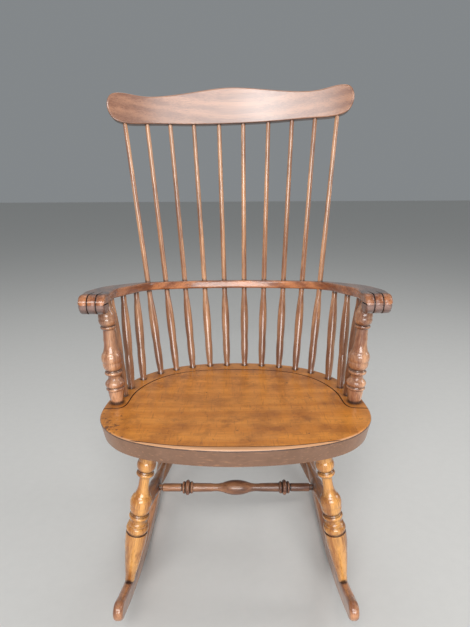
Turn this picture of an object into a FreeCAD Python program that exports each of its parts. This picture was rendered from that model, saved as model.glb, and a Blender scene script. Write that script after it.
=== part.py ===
import FreeCAD, Part
import math
import os
import Sketcher
from FreeCAD import Placement, Rotation, Vector

# A comb-back Windsor rocking chair in wood.
# +Z is up, the front of the chair faces -Y, and +X is to the right of someone looking
# at the front. The origin is on the floor, in the middle of the chair's bounding box.

doc = FreeCAD.newDocument("RockingChair")
dims = doc.addObject("Spreadsheet::Sheet", "Dims")

# name, value in millimetres (tilts in degrees), what it is
sizeTable = [
    ("seatWidth", 563, "widest part of the seat"),
    ("seatDepth", 452, "seat, front edge to back edge"),
    ("seatThick", 38, "seat plank"),
    ("seatTilt", 2.8, "seat falls towards the back"),
    ("seatHeight", 410, "top of the seat's front edge above the floor"),
    ("seatFront", -327.5, "Y of the seat's front edge"),
    ("seatEdgeRound", 4, "rounding of the seat's top edge"),
    ("seatUndercut", 8, "how far the underside stands in from the top edge"),
    ("dishDepth", 6, "saddle hollow"),
    ("dishRadius", 2600, "radius of the saddle hollow"),
    ("gutterWidth", 3.2, "groove in front of the spindle deck"),
    ("gutterDepth", 2.5, "depth of that groove"),
    ("lipGroove", 1.6, "width and depth of the line behind the front edge"),
    ("rockWide", 445, "between the middle planes of the rockers"),
    ("rockThick", 19, "rocker, side to side"),
    ("rockTall", 35.3, "rocker, bottom to top"),
    ("rockRadius", 790, "underside of the rocker"),
    ("rockWear", 1.3, "how much its middle is flattened underneath"),
    ("rockLow", -48, "Y of the rocker's lowest point, under the chair's weight"),
    ("rockFront", 324.5, "rocker nose in front of the lowest point"),
    ("rockBack", 420.5, "rocker tail behind the lowest point"),
    ("rockRound", 7, "rounding of the rocker's edges"),
    ("legTop", 25, "leg where it enters the seat"),
    ("legBelly", 42, "leg at its fullest"),
    ("legNeck", 20.5, "leg at its neck"),
    ("legFoot", 19, "leg where it stands on the rocker"),
    ("frontFoot", -277.5, "Y of the front legs on the rockers"),
    ("rearFoot", 64.5, "Y of the rear legs on the rockers"),
    ("legTenon", 11, "tenon under the leg"),
    ("legTenonDeep", 20, "that tenon's length in the rocker"),
    ("seatSocket", 26, "depth of the leg sockets in the seat"),
    ("legRecess", 6, "recess round the leg's top, wider than the leg on the radius"),
    ("legRecessDeep", 1.5, "depth of that recess"),
    ("stretcherEnd", 14, "stretcher ends"),
    ("stretcherSwell", 26, "side stretcher in the middle"),
    ("centreSwell", 34, "centre stretcher in the middle"),
    ("postFoot", 24.5, "arm post where it enters the seat"),
    ("postBelly", 41, "arm post at its fullest"),
    ("postNeck", 25, "arm post at its neck"),
    ("postTop", 18, "arm post where it enters the arm"),
    ("postDeep", 22, "arm post in the seat"),
    ("postTopDeep", 14, "arm post in the arm"),
    ("spindleFoot", 14.5, "spindle where it enters the seat"),
    ("spindleSwell", 18, "spindle at its fullest"),
    ("spindleNeck", 13, "spindle at the arm"),
    ("spindleTop", 11, "long spindle in the comb"),
    ("spindleDeep", 22, "spindle in the seat"),
    ("spindleTopDeep", 25, "long spindle in the comb"),
    ("armSpindleDeep", 14, "short spindle in the arm"),
    ("bowTilt", 8, "arm falls towards the back"),
    ("bowHeight", 586, "underside of the arm at its back"),
    ("bowBack", 165, "Y of the arm's back, where that height is given"),
    ("bowThick", 20, "arm, bottom to top"),
    ("bowHalfWidth", 12.5, "half the width of the arm at the back"),
    ("bowRound", 5, "rounding of the arm's edges"),
    ("armHalfOuter", 311, "outside of the arms from the middle"),
    ("rollRadius", 19.5, "rolled hand-hold"),
    ("rollWide", 51, "hand-hold, side to side"),
    ("rollAside", 8.5, "its middle, outside the arm post"),
    ("rollAhead", 48, "roll's axis in front of the arm post"),
    ("grooveDeep", 2, "lines over the hand-hold, depth"),
    ("grooveWide", 2.6, "lines over the hand-hold, width"),
    ("combWidth", 620, "comb, end to end"),
    ("combTall", 93, "comb at its middle"),
    ("combThick", 18, "comb, front to back"),
    ("combRadius", 778, "bend of the comb"),
    ("combTilt", 13, "comb leans back"),
    ("combHeight", 1001.5, "underside of the comb's middle above the floor"),
    ("combAside", -10, "X of the comb's middle: the back has racked a little"),
    ("combSkew", 1.7, "how far the comb has turned, its right end up"),
    ("combBack", 284.5, "Y of the comb's middle at its underside"),
    ("combRound", 3, "rounding of the comb's edges"),
    ("glueGap", 0.06, "clearance of every glued joint, on the radius"),
]
for row, (name, value, note) in enumerate(sizeTable, start=1):
    dims.set(f"A{row}", name)
    dims.set(f"B{row}", str(value))
    dims.set(f"C{row}", note)
    dims.setAlias(f"B{row}", name)
doc.recompute()


def size(name):
    return float(dims.get(name))


upright = Vector(0, 0, 1)
nodes = {}


def turnTo(direction):
    return Rotation(upright, direction)


def toward(start, end, distance):
    # the point that far from start on the way to end
    step = end - start
    return start + step * (distance / step.Length)


def originPlane(body, role):
    for feature in body.Origin.OriginFeatures:
        if feature.Role == role:
            return feature
    raise ValueError(role)


def newSketch(body, name, role, lift=0):
    sketch = body.newObject("Sketcher::SketchObject", name)
    sketch.AttachmentSupport = [(originPlane(body, role), "")]
    sketch.MapMode = "FlatFace"
    sketch.AttachmentOffset = Placement(Vector(0, 0, lift), Rotation())
    return sketch


def splineThrough(points, closed=False):
    curve = Part.BSplineCurve()
    curve.interpolate([Vector(x, y, 0) for x, y in points], PeriodicFlag=closed)
    return curve


def bulgedArc(start, end, bulge):
    # an arc whose middle stands off its chord by this share of the chord; a hollow
    # one is drawn from its end back to its start, so that every arc turns one way
    if bulge < 0:
        start, end = end, start
    chord = end - start
    rise = abs(bulge) * chord.Length
    radius = (chord.Length**2 / 4 + rise**2) / (2 * rise)
    outward = Vector(chord.y, -chord.x, 0).normalize()
    centre = (start + end) / 2 + outward * (rise - radius)
    first = math.atan2(start.y - centre.y, start.x - centre.x)
    last = math.atan2(end.y - centre.y, end.x - centre.x)
    if last < first:
        last += 2 * math.pi
    return Part.ArcOfCircle(Part.Circle(centre, upright, radius), first, last)


def turnedBody(name, length, profile):
    # profile: station as a share of the length, a diameter from the sheet, that
    # diameter's share, bulge up to the next station
    body = doc.addObject("PartDesign::Body", name)
    sketch = newSketch(body, name + "Profile", "XZ_Plane")
    points = [Vector(0, 0, 0)]
    for share, diameter, part, bulge in profile:
        points.append(Vector(size(diameter) * part / 2, share * length, 0))
    points.append(Vector(0, length, 0))
    bulges = [0] + [row[3] for row in profile[:-1]] + [0, 0]
    ends = []
    for i, start in enumerate(points):
        end = points[(i + 1) % len(points)]
        if bulges[i]:
            sketch.addGeometry(bulgedArc(start, end, bulges[i]), False)
        else:
            sketch.addGeometry(Part.LineSegment(start, end), False)
        ends.append((2, 1) if bulges[i] < 0 else (1, 2))
    count = len(points)
    for i in range(count):
        after = (i + 1) % count
        sketch.addConstraint(
            Sketcher.Constraint("Coincident", i, ends[i][1], after, ends[after][0])
        )
    sketch.addConstraint(Sketcher.Constraint("Coincident", 0, ends[0][0], -1, 1))
    sketch.addConstraint(
        Sketcher.Constraint("PointOnObject", count - 1, ends[count - 1][0], -2)
    )
    for i, (share, diameter, part, bulge) in enumerate(profile, start=1):
        corner = (i, ends[i][0])
        across = sketch.addConstraint(
            Sketcher.Constraint("DistanceX", -1, 1, *corner, points[i].x)
        )
        sketch.renameConstraint(across, f"across{i}")
        sketch.setExpression(f"Constraints.across{i}", f"Dims.{diameter} * {part} / 2")
        if points[i].y > 0:
            sketch.addConstraint(
                Sketcher.Constraint("DistanceY", -1, 1, *corner, points[i].y)
            )
        else:
            sketch.addConstraint(Sketcher.Constraint("PointOnObject", *corner, -1))
    spin = body.newObject("PartDesign::Revolution", name + "Turned")
    spin.Profile = sketch
    spin.ReferenceAxis = (sketch, ["V_Axis"])
    spin.Angle = 360
    body.Tip = spin
    return body


def hole(name, place, mouth, inward, diameter, deep, proud=12):
    # a socket in a piece that stands at place; inward points into the wood
    direction = Vector(inward).normalize()
    bottom = mouth + direction * deep
    tool = doc.addObject("Part::Cylinder", name)
    tool.setExpression("Radius", f"Dims.{diameter} / 2 + Dims.glueGap")
    tool.Height = deep + proud
    world = Placement(bottom, turnTo(-direction))
    tool.Placement = place.inverse() * world
    return tool


def finish(label, base, place, tools=(), added=()):
    # cuts the sockets, adds the tenons and puts the piece in its place
    shape = base
    if tools:
        bunch = tools[0]
        if len(tools) > 1:
            bunch = doc.addObject("Part::Compound", label + "Cutters")
            bunch.Links = list(tools)
        cut = doc.addObject("Part::Cut", label + "Cut")
        cut.Base = shape
        cut.Tool = bunch
        shape = cut
    if added:
        join = doc.addObject("Part::MultiFuse", label + "Joined")
        join.Shapes = [shape] + list(added)
        shape = join
    shape.Placement = place
    shape.Label = label
    nodes[label] = shape
    return shape


# ---- where everything stands -------------------------------------------------------

seatPlace = Placement(
    Vector(0, size("seatFront"), size("seatHeight")),
    Rotation(Vector(1, 0, 0), -size("seatTilt")),
)


def onSeat(across, back, down=0):
    # a point given as shares of the half width and the depth of the seat
    local = Vector(across * size("seatWidth") / 2, back * size("seatDepth"), -down)
    return seatPlace.multVec(local)


def rockerTop(y, down=0):
    # height of the rocker's top above the floor, or of a line that far under it
    radius = size("rockRadius") - size("rockTall") + down
    rise = size("rockRadius") - math.sqrt(radius**2 - (y - size("rockLow")) ** 2)
    return rise - size("rockWear")


def rockerPoint(side, y, down=0):
    return Vector(side * size("rockWide") / 2, y, rockerTop(y, down))


combPlace = Placement(
    Vector(size("combAside"), size("combBack"), size("combHeight")),
    Rotation(Vector(1, 0, 0), -size("combTilt")) * Rotation(Vector(0, 1, 0), -size("combSkew")),
)


def inComb(across, up):
    # a point in the middle of the comb's thickness
    x = across * size("combWidth") / 2
    radius = size("combRadius")
    y = math.sqrt(radius**2 - x**2) - radius
    return combPlace.multVec(Vector(x, y, up))


bowPlace = Placement(
    Vector(0, 0, size("bowHeight") + size("bowBack") * math.tan(math.radians(size("bowTilt")))),
    Rotation(Vector(1, 0, 0), -size("bowTilt")),
)
bowNormal = bowPlace.Rotation.multVec(upright)


def throughBow(start, end, up):
    # where the line from start to end passes this far above the arm's underside
    level = bowPlace.multVec(Vector(0, 0, up))
    share = (level - start).dot(bowNormal) / (end - start).dot(bowNormal)
    return start + (end - start) * share


# long spindles: across and back on the seat, across on the comb; outermost first
longSpindles = [
    (0.675, 0.832, 0.879),
    (0.547, 0.887, 0.705),
    (0.401, 0.925, 0.517),
    (0.242, 0.949, 0.319),
    (0.083, 0.960, 0.104),
]
# short spindles: across and back on the seat, lean outwards and backwards in mm
shortSpindles = [
    (0.888, 0.524, 17, 22),
    (0.868, 0.621, 12, 38),
    (0.806, 0.741, 14, 50),
]
postBase = (0.915, 0.445)
postLean = (10, 8)


def mirrored(point, side):
    return Vector(point.x * side, point.y, point.z)


# how far above the comb's underside the long spindles are aimed
intoComb = 12


def longLine(row, side=1):
    across, back, top = longSpindles[row]
    return mirrored(onSeat(across, back), side), inComb(side * top, intoComb)


def shortLine(row, side=1):
    across, back, outward, rearward = shortSpindles[row]
    base = onSeat(across, back)
    above = base + Vector(outward, rearward, 185)
    return mirrored(base, side), mirrored(throughBow(base, above, 0), side)


def postLine(side=1):
    base = onSeat(*postBase)
    above = base + Vector(postLean[0], postLean[1], 220)
    return mirrored(base, side), mirrored(throughBow(base, above, 0), side)


frontLegTop = (0.597, 0.179)
rearLegTop = (0.430, 0.763)


def legLine(front, side=1):
    # foot on the rocker's top, and where the leg passes the seat's underside
    across, back = frontLegTop if front else rearLegTop
    y = size("frontFoot") if front else size("rearFoot")
    aim = rockerPoint(1, y, legAim)
    top = onSeat(across, back, size("seatThick"))
    foot = aim
    for i in range(8):
        over = foot.z - rockerTop(foot.y)
        foot = foot - (top - aim) * (over / (top - aim).z)
    return mirrored(foot, side), mirrored(top, side)


legAim = 10
frontJoint = 0.41
rearJoint = 0.33


def stretcherLine(side=1):
    frontFoot, frontTop = legLine(True, side)
    rearFoot, rearTop = legLine(False, side)
    ahead = frontFoot + (frontTop - frontFoot) * frontJoint
    behind = rearFoot + (rearTop - rearFoot) * rearJoint
    return ahead, behind


# ---- seat --------------------------------------------------------------------------

# right half of the seat's outline as shares of the half width and the depth
seatHalf = [
    (0.000, 0.000),
    (0.249, 0.009),
    (0.444, 0.029),
    (0.625, 0.062),
    (0.782, 0.113),
    (0.895, 0.181),
    (0.963, 0.252),
    (0.995, 0.330),
    (1.000, 0.420),
    (0.988, 0.520),
    (0.954, 0.628),
    (0.886, 0.738),
    (0.775, 0.838),
    (0.620, 0.914),
    (0.426, 0.966),
    (0.213, 0.993),
    (0.000, 1.000),
]


def seatOutline(inset):
    halfWidth = size("seatWidth") / 2
    depth = size("seatDepth")
    half = [Vector(x * halfWidth, y * depth, 0) for x, y in seatHalf]
    moved = []
    for i, point in enumerate(half):
        before = half[i - 1] if i else Vector(-half[1].x, half[1].y, 0)
        after = half[i + 1] if i + 1 < len(half) else Vector(-half[-2].x, half[-2].y, 0)
        along = (after - before).normalize()
        moved.append(point + Vector(-along.y, along.x, 0) * inset)
    right = [(p.x, p.y) for p in moved]
    left = [(-x, y) for x, y in right[-2:0:-1]]
    return right + left


def bandSketch(body, name, points, halfWidth):
    # a narrow band along an open path
    sketch = newSketch(body, name, "XY_Plane")
    path = splineThrough(points)
    near = []
    far = []
    for i in range(31):
        at = path.FirstParameter + (path.LastParameter - path.FirstParameter) * i / 30
        along = path.tangent(at)[0]
        here = path.value(at)
        near.append((here.x - along.y * halfWidth, here.y + along.x * halfWidth))
        far.append((here.x + along.y * halfWidth, here.y - along.x * halfWidth))
    far.reverse()
    sketch.addGeometry(splineThrough(near), False)
    sketch.addGeometry(Part.LineSegment(Vector(*near[-1], 0), Vector(*far[0], 0)), False)
    sketch.addGeometry(splineThrough(far), False)
    sketch.addGeometry(Part.LineSegment(Vector(*far[-1], 0), Vector(*near[0], 0)), False)
    return sketch


def bothSides(half):
    # a path given from its right-hand end to the middle, carried on to the left
    return half + [(-x, y) for x, y in half[-2::-1]]


def buildSeat():
    body = doc.addObject("PartDesign::Body", "SeatBody")
    top = newSketch(body, "SeatTop", "XY_Plane")
    top.addGeometry(splineThrough(seatOutline(0), closed=True), False)
    under = newSketch(body, "SeatUnder", "XY_Plane")
    under.setExpression("AttachmentOffset.Base.z", "-Dims.seatThick")
    under.addGeometry(splineThrough(seatOutline(size("seatUndercut")), closed=True), False)
    plank = body.newObject("PartDesign::AdditiveLoft", "SeatPlank")
    plank.Profile = top
    plank.Sections = [under]
    plank.Ruled = True
    body.Tip = plank
    doc.recompute()
    rim = []
    for i, edge in enumerate(plank.Shape.Edges, start=1):
        box = edge.BoundBox
        if abs(box.ZMin) < 1e-6 and abs(box.ZMax) < 1e-6:
            rim.append(f"Edge{i}")
    rounded = body.newObject("PartDesign::Fillet", "SeatRim")
    rounded.Base = (plank, rim)
    rounded.setExpression("Radius", "Dims.seatEdgeRound")
    body.Tip = rounded
    doc.recompute()
    halfWidth = size("seatWidth") / 2
    depth = size("seatDepth")
    gutter = [
        (1.060, 0.360), (0.950, 0.374), (0.880, 0.376), (0.842, 0.412), (0.824, 0.520),
        (0.775, 0.640), (0.690, 0.735), (0.560, 0.812), (0.400, 0.857), (0.200, 0.880),
        (0.000, 0.886),
    ]
    gutterPath = [(x * halfWidth, y * depth) for x, y in gutter]
    lip = [
        (1.040, 0.262), (0.951, 0.228), (0.862, 0.157), (0.748, 0.098), (0.610, 0.068),
        (0.440, 0.044), (0.245, 0.031), (0.000, 0.027),
    ]
    lipPath = [(x * halfWidth, y * depth) for x, y in lip]
    last = rounded
    for name, path, wide, deep in (
        ("SeatGutter", gutterPath, "gutterWidth", "gutterDepth"),
        ("SeatLipLine", lipPath, "lipGroove", "lipGroove"),
    ):
        sketch = bandSketch(body, name + "Path", bothSides(path), size(wide) / 2)
        groove = body.newObject("PartDesign::Pocket", name)
        groove.Profile = sketch
        groove.setExpression("Length", f"Dims.{deep}")
        body.Tip = groove
        doc.recompute()
        if last.Shape.cut(groove.Shape).Volume < 100:
            raise RuntimeError(name + " cut nothing")
        last = groove
    tools = []
    dish = doc.addObject("Part::Sphere", "SeatDish")
    dish.setExpression("Radius", "Dims.dishRadius")
    lift = size("dishRadius") - size("dishDepth")
    dish.Placement = Placement(Vector(0, depth * 0.45, lift), Rotation())
    tools.append(dish)
    for side in (-1, 1):
        letter = "L" if side < 0 else "R"
        for row in range(len(longSpindles)):
            base, end = longLine(row, side)
            tools.append(hole(f"SeatLong{letter}{row}", seatPlace, base, base - end,
                              "spindleFoot", size("spindleDeep")))
        for row in range(len(shortSpindles)):
            base, end = shortLine(row, side)
            tools.append(hole(f"SeatShort{letter}{row}", seatPlace, base, base - end,
                              "spindleFoot", size("spindleDeep")))
        base, end = postLine(side)
        tools.append(hole(f"SeatPost{letter}", seatPlace, base, base - end,
                          "postFoot", size("postDeep")))
        for front in (True, False):
            foot, top = legLine(front, side)
            name = f"SeatLeg{letter}{'Front' if front else 'Rear'}"
            tools.append(hole(name, seatPlace, top, top - foot, "legTop",
                              size("seatSocket")))
            # a shallow recess round each leg's top keeps the splayed leg off the face
            recess = doc.addObject("Part::Cylinder", name + "Recess")
            recess.setExpression("Radius", "Dims.legTop / 2 + Dims.legRecess")
            recess.Height = 10 + size("legRecessDeep")
            low = seatPlace.inverse().multVec(top) - Vector(0, 0, 10)
            recess.Placement = Placement(low, Rotation())
            tools.append(recess)
    # the cutters overlap, so they are joined before the one cut
    cutter = doc.addObject("Part::MultiFuse", "SeatCutters")
    cutter.Shapes = tools
    finish("seat", body, seatPlace, [cutter])


# ---- rockers and legs --------------------------------------------------------------

def buildRocker(side, label):
    body = doc.addObject("PartDesign::Body", label + "Body")
    sketch = newSketch(body, label + "Side", "YZ_Plane")
    radius = size("rockRadius")
    inner = radius - size("rockTall")
    centre = Vector(0, radius, 0)
    # both ends are half rounds, so the outline has no corners
    bend = radius - size("rockTall") / 2
    half = size("rockTall") / 2
    noseAngle = math.asin((size("rockFront") - half) / bend)
    tailAngle = math.asin((size("rockBack") - half) / bend)

    def at(angle, far):
        return centre + Vector(math.sin(angle), -math.cos(angle), 0) * far

    def tip(angle, way):
        return at(angle, bend) + Vector(math.cos(angle), math.sin(angle), 0) * half * way

    pieces = [
        Part.Arc(at(-noseAngle, radius), at(0, radius), at(tailAngle, radius)),
        Part.Arc(at(tailAngle, radius), tip(tailAngle, 1), at(tailAngle, inner)),
        Part.Arc(at(tailAngle, inner), at(0, inner), at(-noseAngle, inner)),
        Part.Arc(at(-noseAngle, inner), tip(-noseAngle, -1), at(-noseAngle, radius)),
    ]
    for piece in pieces:
        sketch.addGeometry(piece, False)
    pad = body.newObject("PartDesign::Pad", label + "Plank")
    pad.Profile = sketch
    pad.setExpression("Length", "Dims.rockThick")
    pad.Midplane = True
    body.Tip = pad
    doc.recompute()
    around = []
    for i, edge in enumerate(pad.Shape.Edges, start=1):
        box = edge.BoundBox
        if abs(box.XMax - box.XMin) < 1e-3:
            around.append(f"Edge{i}")
    rounded = body.newObject("PartDesign::Fillet", label + "Edges")
    rounded.Base = (pad, around)
    rounded.setExpression("Radius", "Dims.rockRound")
    body.Tip = rounded
    at = Vector(side * size("rockWide") / 2, size("rockLow"), -size("rockWear"))
    place = Placement(at, Rotation())
    # the runner's middle is worn flat, so that the chair stands still when left alone
    wear = doc.addObject("Part::Box", label + "Wear")
    wear.Length = size("rockThick") * 2
    wear.Width = size("rockFront")
    wear.Height = 20
    low = size("rockWear") - 20
    wear.Placement = Placement(Vector(-wear.Length / 2, -wear.Width / 2, low), Rotation())
    tools = [wear]
    for front in (True, False):
        foot, top = legLine(front, side)
        tools.append(hole(f"{label}Socket{'Front' if front else 'Rear'}", place, foot,
                          foot - top, "legTenon", size("legTenonDeep")))
    finish(label, body, place, tools)


# leg: share of its length from the rocker to the seat, diameter, bulge
legProfile = [
    (0.000, "legFoot", 1, 0.0),
    (0.055, "legFoot", 1.14, 0.01),
    (0.245, "legBelly", 0.90, 0.02),
    (0.355, "legBelly", 1.04, 0.04),
    (0.384, "legBelly", 1.02, 0.0),
    (0.388, "legBelly", 0.92, 0.0),
    (0.394, "legBelly", 0.92, 0.0),
    (0.398, "legBelly", 0.99, 0.16),
    (0.436, "legBelly", 0.97, 0.0),
    (0.441, "legBelly", 0.90, 0.0),
    (0.452, "legBelly", 0.92, -0.2),
    (0.486, "legBelly", 0.79, 0.0),
    (0.492, "legBelly", 0.84, 0.32),
    (0.518, "legBelly", 0.84, 0.0),
    (0.526, "legBelly", 0.76, 0.10),
    (0.580, "legBelly", 0.98, 0.14),
    (0.662, "legBelly", 0.72, -0.06),
    (0.735, "legNeck", 1, -0.02),
    (0.797, "legNeck", 1.06, 0.0),
    (0.800, "legNeck", 1.48, 0.30),
    (0.826, "legNeck", 1.48, 0.0),
    (0.834, "legNeck", 1.32, 0.16),
    (0.905, "legNeck", 1.62, 0.10),
    (0.970, "legTop", 1, 0.0),
    (1.000, "legTop", 1, 0.0),
]


def withEnds(profile, length, before, beforeSize, after, afterSize):
    # adds plain round ends to a profile and returns the whole length and profile
    whole = before + length + after
    stations = []
    if before:
        stations.append((0, beforeSize, 1, 0.0))
    for share, diameter, part, bulge in profile:
        stations.append(((before + share * length) / whole, diameter, part, bulge))
    if after:
        stations.append((1, afterSize, 1, 0.0))
    return whole, stations


def buildLeg(front, side, label):
    foot, top = legLine(front, side)
    length = (top - foot).Length
    skirt = 8
    whole, stations = withEnds(legProfile, length, skirt, "legFoot",
                               size("seatSocket"), "legTop")
    body = turnedBody(label + "Body", whole, stations)
    up = (top - foot).normalize()
    place = Placement(foot - up * skirt, turnTo(up))
    # the foot is sawn to lie on the rocker's curved top
    inner = size("rockRadius") - size("rockTall")
    reach = foot.y - size("rockLow")
    slope = reach / math.sqrt(inner**2 - reach**2)
    lean = Rotation(Vector(1, 0, 0), math.degrees(math.atan(slope)))
    saw = doc.addObject("Part::Box", label + "Saw")
    saw.Length = 80
    saw.Width = 80
    saw.Height = 40
    gap = size("glueGap")
    corner = Placement(foot, lean) * Placement(Vector(-40, -40, gap - 40), Rotation())
    saw.Placement = place.inverse() * corner
    ahead, behind = stretcherLine(side)
    here = ahead if front else behind
    inward = (ahead - behind) if front else (behind - ahead)
    socket = hole(label + "Socket", place, here, inward, "stretcherEnd",
                  -stretcherStop, proud=60)
    tenon = doc.addObject("Part::Cylinder", label + "Tenon")
    tenon.setExpression("Radius", "Dims.legTenon / 2")
    tenon.Height = size("legTenonDeep") + 12
    world = Placement(foot - up * size("legTenonDeep"), turnTo(up))
    tenon.Placement = place.inverse() * world
    finish(label, body, place, [saw, socket], [tenon])


# ---- stretchers --------------------------------------------------------------------

# how far short of the leg's axis a stretcher's end stops
stretcherStop = 5

sideProfile = [
    (0.00, "stretcherEnd", 1, 0.0),
    (0.10, "stretcherEnd", 1, 0.0),
    (0.22, "stretcherEnd", 1.14, 0.02),
    (0.40, "stretcherSwell", 0.90, 0.05),
    (0.50, "stretcherSwell", 1, 0.05),
    (0.60, "stretcherSwell", 0.90, 0.02),
    (0.78, "stretcherEnd", 1.14, 0.0),
    (0.90, "stretcherEnd", 1, 0.0),
    (1.00, "stretcherEnd", 1, 0.0),
]


def buildSideStretcher(side, label):
    ahead, behind = stretcherLine(side)
    start = toward(ahead, behind, stretcherStop)
    end = toward(behind, ahead, stretcherStop)
    length = (end - start).Length
    body = turnedBody(label + "Body", length, sideProfile)
    place = Placement(start, turnTo(end - start))
    middle = (ahead + behind) / 2
    inward = Vector(side, 0, 0)
    socket = hole(label + "Socket", place, middle, inward, "stretcherEnd",
                  -centreStop, proud=30)
    finish(label, body, place, [socket])


# how far short of the side stretcher's axis the centre stretcher stops
centreStop = 3
centreHalf = [
    (0.000, "stretcherEnd", 1, 0.0),
    (0.045, "stretcherEnd", 1, 0.0),
    (0.050, "centreSwell", 0.54, 0.0),
    (0.160, "centreSwell", 0.54, 0.0),
    (0.168, "centreSwell", 0.50, 0.0),
    (0.171, "centreSwell", 0.70, 0.35),
    (0.187, "centreSwell", 0.70, 0.0),
    (0.190, "centreSwell", 0.83, 0.35),
    (0.214, "centreSwell", 0.83, 0.0),
    (0.217, "centreSwell", 0.70, 0.35),
    (0.233, "centreSwell", 0.70, 0.0),
    (0.237, "centreSwell", 0.60, 0.0),
    (0.345, "centreSwell", 0.56, -0.05),
    (0.410, "centreSwell", 0.60, 0.0),
    (0.420, "centreSwell", 0.65, 0.05),
    (0.500, "centreSwell", 1, 0.05),
]


def buildCentreStretcher():
    left = sum(stretcherLine(-1), Vector()) / 2
    right = sum(stretcherLine(1), Vector()) / 2
    start = toward(left, right, centreStop)
    end = toward(right, left, centreStop)
    profile = list(centreHalf)
    for i in range(len(centreHalf) - 2, -1, -1):
        share, diameter, part, bulge = centreHalf[i]
        # a segment's bulge belongs to its start, which is its end on this side
        bulge = centreHalf[i - 1][3] if i else 0.0
        profile.append((1 - share, diameter, part, bulge))
    body = turnedBody("centre_stretcherBody", (end - start).Length, profile)
    finish("centre_stretcher", body, Placement(start, turnTo(end - start)))


# ---- arm posts and spindles --------------------------------------------------------

postProfile = [
    (0.000, "postFoot", 1, 0.02),
    (0.118, "postBelly", 0.80, 0.0),
    (0.138, "postBelly", 0.80, 0.0),
    (0.142, "postBelly", 0.88, 0.30),
    (0.166, "postBelly", 0.88, 0.0),
    (0.172, "postBelly", 0.86, 0.22),
    (0.228, "postBelly", 0.88, 0.0),
    (0.236, "postBelly", 0.80, -0.22),
    (0.288, "postBelly", 0.72, 0.0),
    (0.296, "postBelly", 0.80, 0.32),
    (0.330, "postBelly", 0.80, 0.0),
    (0.338, "postBelly", 0.74, 0.12),
    (0.420, "postBelly", 1, 0.14),
    (0.520, "postBelly", 0.83, -0.05),
    (0.640, "postNeck", 1.06, -0.02),
    (0.735, "postNeck", 0.97, 0.0),
    (0.744, "postNeck", 1.12, 0.32),
    (0.774, "postNeck", 1.12, 0.0),
    (0.782, "postNeck", 1.20, 0.12),
    (0.845, "postNeck", 1.42, 0.10),
    (0.920, "postNeck", 1.10, -0.06),
    (1.000, "postTop", 1, 0.0),
]


def buildPost(side, label):
    base, end = postLine(side)
    whole, stations = withEnds(postProfile, (end - base).Length, size("postDeep"),
                               "postFoot", size("postTopDeep"), "postTop")
    body = turnedBody(label + "Body", whole, stations)
    place = Placement(toward(base, end, -size("postDeep")), turnTo(end - base))
    finish(label, body, place)


def buildLongSpindle(row, side, label):
    base, end = longLine(row, side)
    length = (end - base).Length
    neck = (throughBow(base, end, 0) - base).Length / length
    above = (throughBow(base, end, size("bowThick")) - base).Length / length
    # where the spindle enters the comb
    comb = 1 - intoComb / length
    profile = [
        (0.0, "spindleFoot", 1, 0.0),
        (0.012, "spindleFoot", 1, 0.02),
        (neck * 0.36, "spindleSwell", 1, 0.02),
        (neck * 0.92, "spindleNeck", 1, 0.0),
        (above + 0.02, "spindleNeck", 1, 0.0),
        (comb - 0.01, "spindleTop", 1, 0.0),
        (1.0, "spindleTop", 1, 0.0),
    ]
    whole, stations = withEnds(profile, length, size("spindleDeep"), "spindleFoot",
                               size("spindleTopDeep") - intoComb, "spindleTop")
    body = turnedBody(label + "Body", whole, stations)
    place = Placement(toward(base, end, -size("spindleDeep")), turnTo(end - base))
    finish(label, body, place)


def buildShortSpindle(row, side, label):
    base, end = shortLine(row, side)
    profile = [
        (0.0, "spindleFoot", 1, 0.0),
        (0.03, "spindleFoot", 1, 0.02),
        (0.36, "spindleSwell", 1, 0.02),
        (0.92, "spindleNeck", 1, 0.0),
        (1.0, "spindleNeck", 1, 0.0),
    ]
    whole, stations = withEnds(profile, (end - base).Length, size("spindleDeep"),
                               "spindleFoot", size("armSpindleDeep"), "spindleNeck")
    body = turnedBody(label + "Body", whole, stations)
    place = Placement(toward(base, end, -size("spindleDeep")), turnTo(end - base))
    finish(label, body, place)


# ---- arm bow and hand-holds --------------------------------------------------------

def bowLocal(point):
    return bowPlace.inverse().multVec(point)


def bowEdges():
    # inner and outer edge of the right half, from the front end to the back
    half = size("bowHalfWidth")
    post = bowLocal(postLine()[1])
    rollY = post.y - size("rollAhead")
    outerX = size("armHalfOuter")
    rollOuter = rollX() + size("rollWide") / 2
    rollInner = rollX() - size("rollWide") / 2
    inner = [(rollInner, rollY - size("rollRadius") - 4), (rollInner, rollY + 8)]
    outer = [(rollOuter, rollY - size("rollRadius") - 4), (rollOuter + 1, rollY + 8)]
    inner.append((post.x - half, post.y))
    outer.append((outerX, post.y + 4))
    centre = [bowLocal(throughBow(*shortLine(row), size("bowThick") / 2))
              for row in range(3)]
    for row in range(len(longSpindles)):
        right = bowLocal(throughBow(*longLine(row, 1), size("bowThick") / 2))
        left = bowLocal(throughBow(*longLine(row, -1), size("bowThick") / 2))
        centre.append((right + mirrored(left, -1)) / 2)
    # how far the outer edge stands off the line of spindles, front to back
    reach = [outerX - centre[0].x, outerX - 8 - centre[1].x, half * 2.1, half * 1.25]
    reach += [half] * 4
    line = [post] + centre + [Vector(0, centre[-1].y + 0.8, 0)]
    for i, point in enumerate(centre, start=1):
        along = (line[i + 1] - line[i - 1]).normalize()
        out = Vector(along.y, -along.x, 0)
        inner.append((point.x - out.x * half, point.y - out.y * half))
        outer.append((point.x + out.x * reach[i - 1], point.y + out.y * reach[i - 1]))
    inner.append((0, line[-1].y - half))
    outer.append((0, line[-1].y + half))
    return inner, outer


def rollX():
    # the hand-hold's middle, a little outside the post
    return bowLocal(postLine()[1]).x + size("rollAside")


def rollPlace(side):
    post = bowLocal(postLine(side)[1])
    at = Vector(side * rollX(), post.y - size("rollAhead"), 0)
    return bowPlace * Placement(at, Rotation())


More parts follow.
